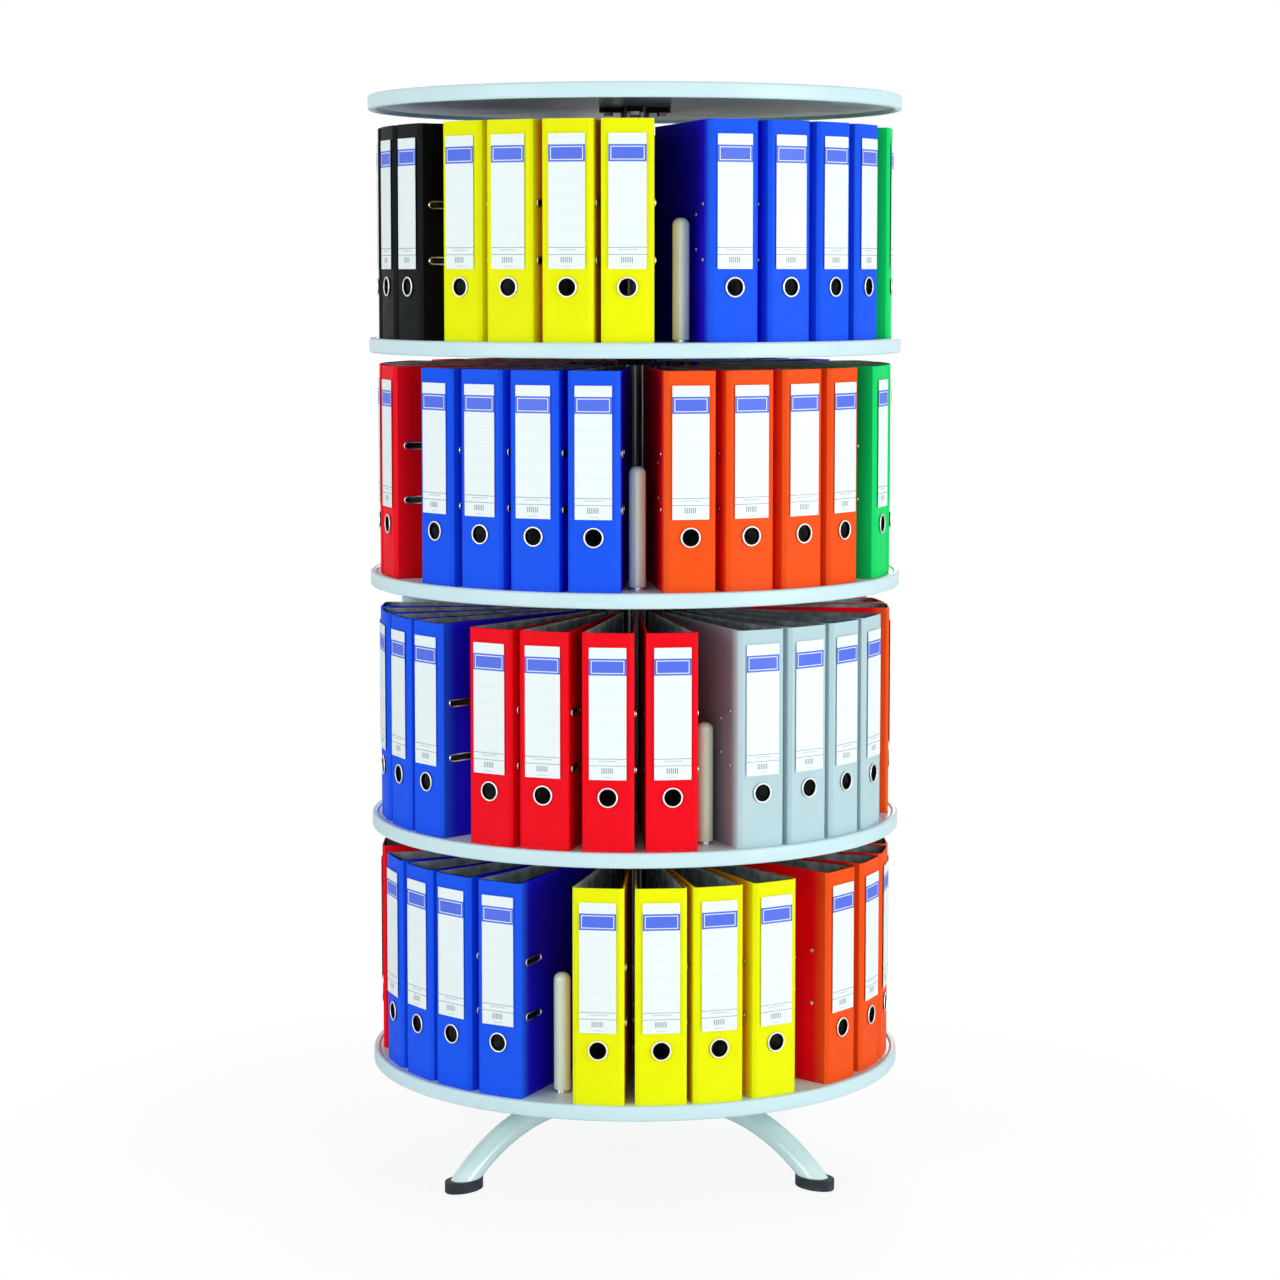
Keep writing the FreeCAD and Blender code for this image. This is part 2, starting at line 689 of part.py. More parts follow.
# ---------------------------------------------------------------- the foot and the column
makeBaseHub()
makeColumn()
makeColumnPlug()
makeBaseBolt()
legAngles = [f"baseAngle - 45 + {quarterAngle} * {number}" for number in range(quarters)]
legs = [makeLeg(f"leg_{number + 1}", angle) for number, angle in enumerate(legAngles)]
shoe = makeShoe(legs[0])
group("leg_shoes", [copyOf(shoe, angle=f"{quarterAngle} * {number}") for number in range(quarters)])
collar = makeCollar()
grubScrew = makeGrubScrew()
collarHeights = [f"{shelfHeight(number)} - {collarDrop}" for number in range(1, shelves)]
group("shelf_collars", [copyOf(collar, height=height) for height in collarHeights])
group("collar_screws", [copyOf(grubScrew, height=height) for height in collarHeights])

# ---------------------------------------------------------------- the cover
hubScrew = makeHubScrew()


def hubScrews(label, height, angle):
    screws = [
        copyOf(hubScrew, height=height, across="hubScrewReach", angle=f"{angle} + {quarterAngle * number}")
        for number in range(quarters)
    ]
    return group(label, screws)


coverHeight = shelfHeight(0)
makeBoard("cover_board", coverHeight, "0", hubHole=False)
makeRim("cover_rim", coverHeight, "0")
makeHub("cover_hub", coverHeight, "0", bore="columnRadius + seatGap", sleeved=False)
hubScrews("cover_hub_screws", coverHeight, "0")

# ---------------------------------------------------------------- the shelves and what stands on them
post = makePost()
postCap = makePostCap()
file = makeFile()


def fileAngle(number, slot):
    """The middle of a file, counted from the front stop towards +X."""
    section, step = divmod(slot, filesPerSection)
    strays = fileStrays[number][sectionOrder[section]]
    stray = strays[step % len(strays)]
    even = f"{sectionAngle * section} + postGapAngle / 2 + {step + 0.5} * {filePitch}"
    return f"({even} + {filePlay} * ({stray}))"


for number in range(1, shelves + 1):
    height = shelfHeight(number)
    angle = f"shelfAngle{number}"
    standing = f"{height} + {boardTop}"
    makeBoard(f"shelf_{number}_board", height, angle, hubHole=True)
    makeRim(f"shelf_{number}_rim", height, angle)
    makeHub(f"shelf_{number}_hub", height, angle, bore=hubBore, sleeved=True)
    makeBush(f"shelf_{number}_bush", height, angle)
    hubScrews(f"shelf_{number}_hub_screws", height, angle)
    postAngles = [f"({angle} + {sectionAngle * section})" for section in range(sections)]
    group(f"shelf_{number}_stops", [
        copyOf(post, height=standing, along=f"-{postReach}", angle=turn) for turn in postAngles
    ])
    group(f"shelf_{number}_stop_caps", [
        copyOf(postCap, height=f"{standing} + postHeight", along=f"-{postReach}", angle=turn)
        for turn in postAngles
    ])
    for letter, colour in shelfColours[number].items():
        slots = [
            slot for slot in range(sections * filesPerSection)
            if sectionOrder[slot // filesPerSection] == letter
        ]
        group(f"shelf_{number}_files_{colour}", [
            copyOf(file, height=standing, angle=f"{angle} + {fileAngle(number, slot)}") for slot in slots
        ])

doc.recompute()

# ---------------------------------------------------------------- tests, then one file for each piece
for item in doc.Objects:
    if "Invalid" in item.State or "Error" in item.State:
        raise RuntimeError(f"{item.Label} failed: {item.State}")
for item in kept:
    if item.Shape.isNull() or not item.Shape.isValid() or not item.Shape.Solids:
        raise RuntimeError(f"{item.Label} has no valid shape")

os.makedirs("parts", exist_ok=True)
for item in kept:
    item.Shape.exportStep(f"parts/{item.Label}.step")
print(len(kept), "pieces,", sum(len(item.Shape.Solids) for item in kept), "solids")
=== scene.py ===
import itertools
import json
import math
import random

import bmesh
import bpy
from mathutils import Matrix, Vector

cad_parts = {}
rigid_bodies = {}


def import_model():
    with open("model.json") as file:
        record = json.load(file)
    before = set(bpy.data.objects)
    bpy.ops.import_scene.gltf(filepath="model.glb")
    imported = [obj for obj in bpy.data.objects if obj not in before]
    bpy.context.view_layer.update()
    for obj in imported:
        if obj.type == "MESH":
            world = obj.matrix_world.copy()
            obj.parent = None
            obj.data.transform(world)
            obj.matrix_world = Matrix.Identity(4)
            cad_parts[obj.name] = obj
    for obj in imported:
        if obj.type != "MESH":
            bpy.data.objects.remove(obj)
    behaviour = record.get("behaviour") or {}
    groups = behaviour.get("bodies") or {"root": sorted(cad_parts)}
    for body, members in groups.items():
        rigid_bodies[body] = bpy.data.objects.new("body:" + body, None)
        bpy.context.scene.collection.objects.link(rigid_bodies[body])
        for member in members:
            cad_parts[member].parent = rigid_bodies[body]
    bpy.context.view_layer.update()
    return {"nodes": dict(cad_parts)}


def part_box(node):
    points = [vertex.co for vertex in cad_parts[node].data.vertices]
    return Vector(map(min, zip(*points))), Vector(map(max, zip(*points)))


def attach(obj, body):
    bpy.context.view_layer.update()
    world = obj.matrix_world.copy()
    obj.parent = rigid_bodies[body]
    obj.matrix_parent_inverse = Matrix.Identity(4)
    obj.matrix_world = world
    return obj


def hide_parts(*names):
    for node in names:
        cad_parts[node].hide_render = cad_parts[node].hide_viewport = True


for startThing in list(bpy.data.objects):
    bpy.data.objects.remove(startThing)
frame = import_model()
nodes = frame["nodes"]
scene = bpy.context.scene
scene.view_settings.view_transform = "Standard"
print("packed cabinet loaded:", len(nodes), "nodes")

# lengths are in millimetres unless a line says otherwise, and become metres when a mesh is made
mm = 0.001

cameraSetting = {
    "place": (0, -4.9455, 1.3695),  # metres
    "tilt": 84.843,  # degrees up from looking straight down
    "lens": 89.71,
    "shift": (0.0039, -0.0625),
}


def makeCamera(setting):
    data = bpy.data.cameras.new("camera")
    data.lens = setting["lens"]
    data.shift_x, data.shift_y = setting["shift"]
    camera = bpy.data.objects.new("camera", data)
    camera.location = setting["place"]
    camera.rotation_euler = (math.radians(setting["tilt"]), 0, 0)
    scene.collection.objects.link(camera)
    scene.camera = camera


makeCamera(cameraSetting)
print("camera set")


def colourOf(red, green, blue):
    # screen values from 0 to 255 as the linear colour that a shader takes
    linear = [c / 255 / 12.92 if c <= 10 else ((c / 255 + 0.055) / 1.055) ** 2.4 for c in (red, green, blue)]
    return (*linear, 1)


class Wire:
    # a shader value that takes part in sums

    def __init__(self, finish, socket):
        self.finish, self.socket = finish, socket

    def maths(self, operation, other=0, clamp=False, swap=False):
        first, second = (other, self) if swap else (self, other)
        settings = {"operation": operation, "use_clamp": clamp}
        return self.finish.node("ShaderNodeMath", settings, {0: first, 1: second})

    def __add__(self, other):
        return self.maths("ADD", other)

    def __sub__(self, other):
        return self.maths("SUBTRACT", other)

    def __rsub__(self, other):
        return self.maths("SUBTRACT", other, swap=True)

    def __mul__(self, other):
        return self.maths("MULTIPLY", other)

    def __truediv__(self, other):
        return self.maths("DIVIDE", other)

    def __rtruediv__(self, other):
        return self.maths("DIVIDE", other, swap=True)

    def __gt__(self, other):
        return self.maths("GREATER_THAN", other)

    def __lt__(self, other):
        return self.maths("LESS_THAN", other)

    def __abs__(self):
        return self.maths("ABSOLUTE")

    __radd__ = __add__
    __rmul__ = __mul__

    def sine(self):
        return self.maths("SINE")

    def cosine(self):
        return self.maths("COSINE")

    def top(self, other):
        return self.maths("MAXIMUM", other)

    def power(self, other):
        return self.maths("POWER", other)

    def fade(self, start, end):
        # 0 at start and 1 at end, straight in between
        return (self - start).maths("DIVIDE", end - start, clamp=True)


class Finish:
    # the nodes of one material, or of the world

    def __init__(self, owner):
        owner.use_nodes = True
        self.owner, self.tree = owner, owner.node_tree
        self.tree.nodes.clear()

    def node(self, kind, settings=None, values=None, out=0):
        made = self.tree.nodes.new(kind)
        for name, value in (settings or {}).items():
            setattr(made, name, value)
        for name, value in (values or {}).items():
            if isinstance(value, Wire):
                self.tree.links.new(value.socket, made.inputs[name])
            else:
                made.inputs[name].default_value = value
        if isinstance(out, tuple):
            return tuple(Wire(self, made.outputs[name]) for name in out)
        return Wire(self, made.outputs[out]) if made.outputs else None

    def spot(self):
        # each corner's place in its own piece's frame, in millimetres
        return self.node("ShaderNodeAttribute", {"attribute_name": "spot"}, out="Vector")

    def tone(self):
        # a number from 0 to 1 that differs from copy to copy
        return self.node("ShaderNodeAttribute", {"attribute_name": "tone"}, out="Fac")

    def split(self, vector):
        return self.node("ShaderNodeSeparateXYZ", values={"Vector": vector}, out=("X", "Y", "Z"))

    def place(self):
        # metres in the cabinet's frame, for pieces whose mesh came with the frame
        return self.node("ShaderNodeTexCoord", out="Object")

    def noise(self, where, scale, detail=3, roughness=0.5, stretch=None):
        if stretch:
            where = self.node("ShaderNodeMapping", values={"Vector": where, "Scale": stretch})
        return self.node("ShaderNodeTexNoise", values={
            "Vector": where, "Scale": scale, "Detail": detail, "Roughness": roughness}, out="Fac")

    def blend(self, share, first, second):
        # two colours mixed by a value
        return self.node("ShaderNodeMix", {"data_type": "RGBA"}, {0: share, 6: first, 7: second}, out=2)

    def bump(self, height, strength, distance):
        return self.node("ShaderNodeBump", values={
            "Height": height, "Strength": strength, "Distance": distance}, out="Normal")

    def paint(self, **sockets):
        # the surface itself, its sockets named without their spaces
        names = {"colour": "Base Color", "roughness": "Roughness", "metallic": "Metallic", "normal": "Normal",
                 "coat": "Coat Weight", "coatRoughness": "Coat Roughness", "specular": "Specular IOR Level"}
        surface = self.node("ShaderNodeBsdfPrincipled", values={names[n]: v for n, v in sockets.items()})
        self.node("ShaderNodeOutputMaterial", values={"Surface": surface})
        return self.owner


def newFinish(name):
    return Finish(bpy.data.materials.new(name))


def dimmed(colour, share):
    return (*[channel * share for channel in colour[:3]], 1)


def paled(colour, share):
    return (*[channel + (0.8 - channel) * share for channel in colour[:3]], 1)


fileColours = {
    # film on the spine, film on the covers (a darker colour painted in as shade), how much the clear pocket
    # shows
    "yellow": (colourOf(247, 253, 4), colourOf(248, 176, 6), 0.05),
    "blue": (colourOf(26, 92, 252), colourOf(26, 14, 242), 0.3),
    "black": (colourOf(8, 15, 17), colourOf(4, 5, 7), 0.04),
    "green": (colourOf(8, 226, 110), colourOf(4, 172, 84), 0.2),
    "orange": (colourOf(252, 88, 26), colourOf(252, 0, 26), 0.26),
    "red": (colourOf(250, 8, 30), colourOf(222, 2, 14), 0.2),
    "grey": (colourOf(192, 221, 228), colourOf(156, 160, 172), 0.2),
}

fileCase = {
    "height": 320,
    "halfWidth": 40,
    "bevel": (7, 6),  # across the spine, along the cover
    "board": 2.4,
    "reach": 396,  # column's axis to the spine
    "depth": 285,
    "tailHalf": 10.61,
    "fold": 3,  # rounding of the folds
    "edge": 0.7,  # rounding of the cut edges
    "slot": (48, 9),  # slots for the arches in the front cover
    "slotMiddle": 35.2,  # from the fold
    "slotGap": 82,
    "holeRadius": 11,  # inside the finger hole's ring
    "holeRoom": 0.4,  # the hole in the board beyond it
    "holeHeight": 81,
    "cut": 20,  # reach of the cutters to either side of the board
}

filmLook = {
    "weave": 3.1,  # radians of the embossed weave to a millimetre
    "weld": 0.9,  # width of the pocket's welded edge
    "crease": 0.8,  # half the width of the pressed line along a fold
    "worn": 7,  # height to which the foot is rubbed pale
    "spineDeep": 0.9,  # the spine's own film reaches this far behind its face
    "coverShadeStart": 4,  # behind the folded bevel, where the cover's painted shade colour begins
    "coverShadeFull": 30,  # behind the spine, where all is the cover's painted shade colour
}

label = {
    "halfWidth": 27.6,
    "bottom": 106.5,
    "top": 299.5,
    "thickness": 0.3,
    "corner": 1.5,
    "lift": 0.03,  # off the spine
    "pocket": 3.4,  # clear pocket beyond the label
    "pocketFoot": 9,  # and below it
    "thumb": 12,  # half-round notch in the pocket's lower edge
}


def bookFilm(name, colours):
    # embossed plastic film on board, with a clear pocket welded on the spine
    film = newFinish(name)
    spineColour, coverShadedColour, pocketShows = colours
    spot, tone = film.spot(), film.tone()
    x, y, z = film.split(spot)
    reach, weave, weld = fileCase["reach"], filmLook["weave"], filmLook["weld"]
    run = x + y + tone * 37
    drift = film.noise(spot, 0.035, 4)
    weft = (run * weave + film.noise(spot, 0.6, 2) * 3).sine()
    warp = (z * weave + film.noise(spot, 0.5, 2) * 3).sine()
    cloud = film.noise(spot, 0.012, 3)
    onSpine = y < filmLook["spineDeep"] - reach
    half, margin, foot = label["halfWidth"], label["pocket"], label["bottom"] - label["pocketFoot"]
    inPocket = (abs(x) < half + margin) * (z > foot) * (z < label["top"] + margin) * onSpine
    thumbX, thumbZ = x / label["thumb"], (z - foot) / label["thumb"]
    thumb = (thumbX * thumbX + thumbZ * thumbZ) < 1
    pocket = inPocket * (1 - thumb)
    inner = (abs(x) < half + margin - weld) * (z > foot + weld) * (z < label["top"] + margin - weld)
    welded = pocket * (1 - inner)
    fold = (abs(abs(x) - (fileCase["halfWidth"] - fileCase["bevel"][0])) < filmLook["crease"]) * onSpine
    scuff = film.noise(spot, 0.22, 5, 0.7)
    worn = z.fade(filmLook["worn"], 0) * (scuff > 0.56)
    # painted shade: behind the fold the film turns from the spine's colour to the darker cover colour
    coverShadeRamp = y.fade(fileCase["bevel"][1] - reach + filmLook["coverShadeStart"], filmLook["coverShadeFull"] - reach)
    shade = film.blend(coverShadeRamp, spineColour, coverShadedColour)
    shadow = film.blend(coverShadeRamp, dimmed(spineColour, 0.78), dimmed(coverShadedColour, 0.72))
    shade = film.blend(cloud * 0.3 + drift * 0.2, shade, shadow)
    shade = film.blend(pocket * pocketShows + welded * 0.3 + worn * 0.25, shade, paled(spineColour, 0.45))
    # painted shade: the pressed line along each fold is darkened in colour
    shade = film.blend(fold * 0.3, shade, dimmed(spineColour, 0.55))
    rough = 0.46 + drift * 0.16 - pocket * 0.2 + worn * 0.2
    height = weft * warp * 0.5 * (1 - pocket) + pocket * 1.6 - fold * 3 + film.noise(spot, 0.09, 2) * 1.2
    normal = film.bump(height, 0.35, 0.00012)
    return film.paint(colour=shade, roughness=rough, normal=normal, specular=0.08)


def liningPaper():
    # the grey clouded paper inside a file
    paper = newFinish("clouded_paper")
    spot, tone = paper.spot(), paper.tone()
    cloud = paper.noise(spot, 0.05, 6, 0.62)
    speck = paper.noise(spot, 1.6, 2)
    dark, light = colourOf(126, 134, 136), colourOf(196, 204, 206)
    shade = paper.blend(cloud.fade(0.35, 0.68), dark, light)
    shade = paper.blend((speck > 0.66) * 0.35, shade, colourOf(84, 92, 96))
    shade = paper.blend(tone * 0.12, shade, colourOf(120, 128, 130))
    normal = paper.bump(speck, 0.25, 0.0001)
    return paper.paint(colour=shade, roughness=0.78 + cloud * 0.12, normal=normal)


cardPrint = {
    # heights up the file, and half widths from the label's middle line
    "field": (258.8, 283.2),  # coloured field
    "fieldEdge": 0.5,  # white left beside it
    "frame": (3.4, 2.6),  # pale line inside the field: in from the label's side, in from the field's end
    "frameLine": 1.2,
    "rule": 236,
    "ruleGap": 23.3,
    "ruled": (150, 250),
    "lines": (137.6, 127.6),
    "lineHalf": 0.45,
    "upperDots": (134.2, 0.8, 14),  # height, half height, half width
    "lowerDots": (111, 0.6, 7),
    "table": (120.2, 4, 9),
}


def labelPaper():
    # white card behind the clear pocket: a plain coloured field, faint rules, a small index table
    card = newFinish("label_card")
    spot, tone = card.spot(), card.tone()
    x, y, z = card.split(spot)
    across, half = abs(x), label["halfWidth"]

    def strip(height, halfHeight, halfWidth):
        return (abs(z - height) < halfHeight) * (across < halfWidth)

    low, high = cardPrint["field"]
    field = (z > low) * (z < high) * (across < half - cardPrint["fieldEdge"])
    middle, tall = (low + high) / 2, (high - low) / 2
    (side, end), line = cardPrint["frame"], cardPrint["frameLine"]
    inner = strip(middle, tall - end, half - side)
    core = strip(middle, tall - end - line, half - side - line)
    outline = inner * (1 - core)
    rules = ((z - cardPrint["rule"]) * (2 * math.pi / cardPrint["ruleGap"])).cosine() > 0.9988
    rules = rules * (z > cardPrint["ruled"][0]) * (z < cardPrint["ruled"][1])
    upper, lower = [abs(z - height) < cardPrint["lineHalf"] for height in cardPrint["lines"]]
    thick = upper.top(lower)
    dots = strip(*cardPrint["upperDots"]) * ((x * 2.4).sine() > 0)
    dots = dots.top(strip(*cardPrint["lowerDots"]) * ((x * 2.9).sine() > 0.2))
    table = strip(*cardPrint["table"])
    ticks = (x * 2.1).sine() > 0.1
    fibre = card.noise(spot, 0.9, 4)
    shade = card.blend(fibre * 0.25, colourOf(240, 251, 252), colourOf(226, 240, 242))
    shade = card.blend(rules * 0.6, shade, colourOf(196, 218, 222))
    shade = card.blend(thick * 0.85, shade, colourOf(104, 132, 146))
    shade = card.blend(dots * 0.7, shade, colourOf(90, 110, 124))
    shade = card.blend(table * ticks * 0.8, shade, colourOf(74, 92, 104))
    ink = card.blend(fibre * 0.4, colourOf(78, 108, 232), colourOf(100, 132, 242))
    shade = card.blend(field * (1 - outline), shade, ink)
    normal = card.bump(card.noise(spot, 0.03, 2), 0.3, 0.0006)
    return card.paint(colour=shade, roughness=0.4 + fibre * 0.1 + tone * 0.05, normal=normal, specular=0.3)


def plated(name, tint, rough, streak=(1, 1, 1)):
    # plated or zinc coated steel, rubbed dull in places
    metal = newFinish(name)
    spot = metal.spot()
    rub = metal.noise(spot, 0.3, 4, stretch=streak)
    spots = metal.noise(spot, 1.4, 3)
    shade = metal.blend(rub * 0.5 + spots * 0.2, tint, dimmed(tint, 0.72))
    normal = metal.bump(rub, 0.12, 0.0002)
    return metal.paint(colour=shade, metallic=1.0, roughness=rough + rub * 0.12, normal=normal)


def mouldedBand():
    # pale satin plastic edge band, a little yellowed and dusty along its upper edge
    band = newFinish("edge_band")
    spot = band.spot()
    height = band.split(spot)[2]
    grain = band.noise(spot, 0.9, 3)
    flow = band.noise(spot, 0.006, 3)
    dust = height.fade(13, 17) * band.noise(spot, 0.05, 4)
    shade = band.blend(flow * 0.6, colourOf(208, 237, 243), colourOf(196, 228, 234))
    shade = band.blend(dust * 0.25, shade, colourOf(178, 192, 192))
    normal = band.bump(grain, 0.18, 0.00012)
    return band.paint(colour=shade, roughness=0.3 + grain * 0.1 + dust * 0.25, normal=normal, specular=0.35)


def laminate(name, light, dark, grain):
    # melamine faced board, speckled
    board = newFinish(name)
    spot = board.spot()
    fine = board.noise(spot, grain, 4, 0.7)
    broad = board.noise(spot, 0.01, 3)
    shade = board.blend(fine.fade(0.38, 0.62), dark, light)
    shade = board.blend(broad * 0.3, shade, dark)
    normal = board.bump(fine, 0.2, 0.0001)
    return board.paint(colour=shade, roughness=0.32 + broad * 0.12, normal=normal)


def mouldedGrey(name):
    # the glossy moulded plastic of the upright stops
    plastic = newFinish(name)
    spot, tone = plastic.spot(), plastic.tone()
    draw = plastic.noise(spot, 0.25, 3, stretch=(1, 1, 0.05))
    cloud = plastic.noise(spot, 0.02, 3)
    shade = plastic.blend(cloud * 0.5 + tone * 0.2, colourOf(232, 250, 226), colourOf(216, 236, 212))
    normal = plastic.bump(draw, 0.12, 0.0003)
    return plastic.paint(colour=shade, roughness=0.14 + draw * 0.1, normal=normal, coat=0.7)


def paintedSteel(name, colour, rough, peel, fleck=None, gloss=0.2, shine=0.5):
    # sprayed or powder coated metal on a piece of the frame
    coat = newFinish(name)
    place = coat.place()
    skin = coat.noise(place, 420, 3)
    broad = coat.noise(place, 9, 3)
    shade = coat.blend(broad * 0.5, colour, fleck or dimmed(colour, 0.84))
    normal = coat.bump(skin, peel, 0.0004)
    return coat.paint(colour=shade, roughness=rough + skin * 0.1, normal=normal, specular=shine,
                      coat=gloss, coatRoughness=0.1)


def frameMetal(name, tint, rough):
    # bare or plated metal on a piece of the frame
    metal = newFinish(name)
    place = metal.place()
    rub = metal.noise(place, 60, 4, stretch=(1, 1, 0.15))
    shade = metal.blend(rub * 0.5, tint, dimmed(tint, 0.75))
    normal = metal.bump(rub, 0.1, 0.0003)
    return metal.paint(colour=shade, metallic=1.0, roughness=rough + rub * 0.14, normal=normal)


def rubberyBlack():
    # black moulded shoes, scuffed grey near the floor
    shoe = newFinish("shoe_plastic")
    place = shoe.place()
    height = shoe.split(place)[2]
    grain = shoe.noise(place, 900, 3)
    scuff = shoe.noise(place, 60, 5, 0.7)
    worn = height.fade(0.009, 0) * (scuff > 0.5)  # the lowest nine millimetres, in metres here
    shade = shoe.blend(scuff * 0.5, colourOf(13, 18, 26), colourOf(26, 35, 48))
    shade = shoe.blend(worn * 0.4, shade, colourOf(92, 98, 104))
    normal = shoe.bump(grain, 0.2, 0.0003)
    return shoe.paint(colour=shade, roughness=0.36 + scuff * 0.14 + worn * 0.2, normal=normal)


films = {colour: bookFilm(f"film_{colour}", value) for colour, value in fileColours.items()}
finishes = {
    "lining": liningPaper(),
    "card": labelPaper(),
    "nickel": plated("nickel", colourOf(226, 224, 214), 0.16),
    "bead": plated("satin_nickel", colourOf(244, 246, 244), 0.45),
    # painted shade: the ring's throat is black to stand in for the shade inside the finger hole
    "throat": plated("black_nickel_painted_shade", colourOf(26, 26, 28), 0.4),
    "zinc": plated("zinc", colourOf(196, 198, 196), 0.3, (1, 1, 0.2)),
    "band": mouldedBand(),
    "boardTop": laminate("board_face", colourOf(228, 248, 252), colourOf(206, 230, 238), 0.8),
    # painted shade: the underside's laminate is a darker, bluer copy of the top's
    "boardUnderShaded": laminate("board_back_painted_shade", colourOf(224, 247, 253), colourOf(140, 178, 190), 0.3),
    "stop": mouldedGrey("stop_plastic"),
    "cap": mouldedGrey("cap_plastic"),
    "chrome": plated("chrome", colourOf(232, 234, 236), 0.06, (1, 1, 0.02)),
}
print(len(films) + len(finishes), "finishes made")


class Blank:
    # corners in millimetres, faces and each face's finish, before they become a mesh

    def __init__(self):
        self.corners, self.faces, self.finish, self.spots, self.tones = [], [], [], [], []

    def add(self, part, move, tone=0.0):
        first = len(self.corners)
        self.corners += [move @ corner for corner in part.corners]
        self.spots += part.spots or part.corners
        self.tones += [tone] * len(part.corners)
        self.faces += [[first + corner for corner in face] for face in part.faces]
        self.finish += part.finish
        return self


def lathe(profile, steps=40, closed=False, finish=0):
    # (radius, height) points turned about Z
    part = Blank()
    rows = len(profile)
    for step in range(steps):
        turn = 2 * math.pi * step / steps
        part.corners += [Vector((r * math.cos(turn), r * math.sin(turn), z)) for r, z in profile]
    for step in range(steps):
        here, there = step * rows, (step + 1) % steps * rows
        for row in range(rows if closed else rows - 1):
            above = (row + 1) % rows
            part.faces.append((here + row, there + row, there + above, here + above))
    part.finish = [finish] * len(part.faces)
    return part


def arc(centre, radius, start, end, steps):
    # points on an arc in a plane, angles in degrees
    angles = [math.radians(start + (end - start) * step / steps) for step in range(steps + 1)]
    return [(centre[0] + radius * math.cos(a), centre[1] + radius * math.sin(a)) for a in angles]


def softCorners(corners, radius, steps=4, closed=False):
    # a line through corners with each bend rounded
    points = []
    count = len(corners)
    for number, corner in enumerate(corners):
        if not closed and number in (0, count - 1):
            points.append(Vector(corner))
            continue
        here = Vector(corner)
        before, after = Vector(corners[number - 1]) - here, Vector(corners[(number + 1) % count]) - here
        half = before.angle(after) / 2
        back = radius / math.tan(half)
        start, end = here + before.normalized() * back, here + after.normalized() * back
        middle = here + (before.normalized() + after.normalized()).normalized() * (radius / math.sin(half))
        for step in range(steps + 1):
            points.append(middle + (start - middle).slerp(end - middle, step / steps))
    return points


def slab(outline, low, high):
    # a flat outline made solid between two heights
    part = Blank()
    count = len(outline)
    part.corners = [Vector((x, y, z)) for z in (low, high) for x, y in outline]
    part.faces = [(n, (n + 1) % count, count + (n + 1) % count, count + n) for n in range(count)]
    part.faces += [tuple(reversed(range(count))), tuple(range(count, 2 * count))]
    part.finish = [0] * len(part.faces)
    return part


def tube(path, radius, sides=8, closed=False, flat=1.0):
    # a round or flattened rod along a path
    part = Blank()
    count = len(path)
    side = Vector((0, 0, 1))
    for number, point in enumerate(path):
        after = path[(number + 1) % count] if closed or number < count - 1 else point
        before = path[number - 1] if closed or number > 0 else point
        along = (after - before).normalized()
        if abs(along.dot(side)) > 0.95:
            side = Vector((0, 1, 0)) if abs(along.y) < 0.9 else Vector((1, 0, 0))
        side = (side - along * side.dot(along)).normalized()
        other = along.cross(side)
        for turn in range(sides):
            angle = 2 * math.pi * turn / sides
            across, up = radius * math.cos(angle), radius * flat * math.sin(angle)
            part.corners.append(point + side * across + other * up)
    for number in range(count if closed else count - 1):
        here, there = number * sides, (number + 1) % count * sides
        for turn in range(sides):
            after = (turn + 1) % sides
            part.faces.append((here + turn, here + after, there + after, there + turn))
    if not closed:
        part.faces += [tuple(reversed(range(sides))), tuple(range((count - 1) * sides, count * sides))]
    part.finish = [0] * len(part.faces)
    return part


def makeMesh(name, blank, sharp=35):
    mesh = bpy.data.meshes.new(name)
    mesh.from_pydata([corner * mm for corner in blank.corners], [], blank.faces)
    mesh.polygons.foreach_set("material_index", blank.finish)
    spots = mesh.attributes.new("spot", "FLOAT_VECTOR", "POINT")
    spots.data.foreach_set("vector", [value for spot in blank.spots or blank.corners for value in spot])
    tones = mesh.attributes.new("tone", "FLOAT", "POINT")
    tones.data.foreach_set("value", blank.tones or [0.0] * len(blank.corners))
    work = bmesh.new()
    work.from_mesh(mesh)
    bmesh.ops.remove_doubles(work, verts=work.verts, dist=1e-6)
    bmesh.ops.dissolve_degenerate(work, edges=work.edges, dist=1e-7)
    bmesh.ops.recalc_face_normals(work, faces=work.faces)
    work.to_mesh(mesh)
    work.free()
    mesh.shade_smooth()
    mesh.set_sharp_from_angle(angle=math.radians(sharp))
    return mesh


def makePiece(name, body, blank, materials, replaces=(), edge=None, sharp=35):
    piece = bpy.data.objects.new(name, makeMesh(name, blank, sharp))
    scene.collection.objects.link(piece)
    for material in materials:
        piece.data.materials.append(material)
    if edge:
        bevel = piece.modifiers.new("soft_edges", "BEVEL")
        bevel.width = edge * mm
        bevel.segments = 2
        bevel.limit_method = "ANGLE"
        bevel.angle_limit = math.radians(50)
        bevel.harden_normals = True
    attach(piece, body)
    if replaces:
        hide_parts(*replaces)


def turned(angle, height, along=0.0):
    # a place at an angle round the column, counted from the front towards +X
    return Matrix.Rotation(math.radians(angle), 4, "Z") @ Matrix.Translation((0, along, height))


disc = {
    "radius": 410,
    "board": 14,
    "bandWidth": 10,
    "lip": 2.5,  # edge band above the board
    "skirt": 6,  # edge band below the board
    "round": 4,
    "land": 3,  # flat on top of the band
    "topStep": (0.7, 0.35),  # inwards and down from the land
    "seat": 0.3,  # band's inner edge below the board's face
    "footStep": (0.8, 0.6),  # bevel at the band's lower inner edge, across and up
    "gap": 0.05,  # board to band
    "boardEdge": 0.4,
    "hubHole": 32.2,
    "steps": 192,
}


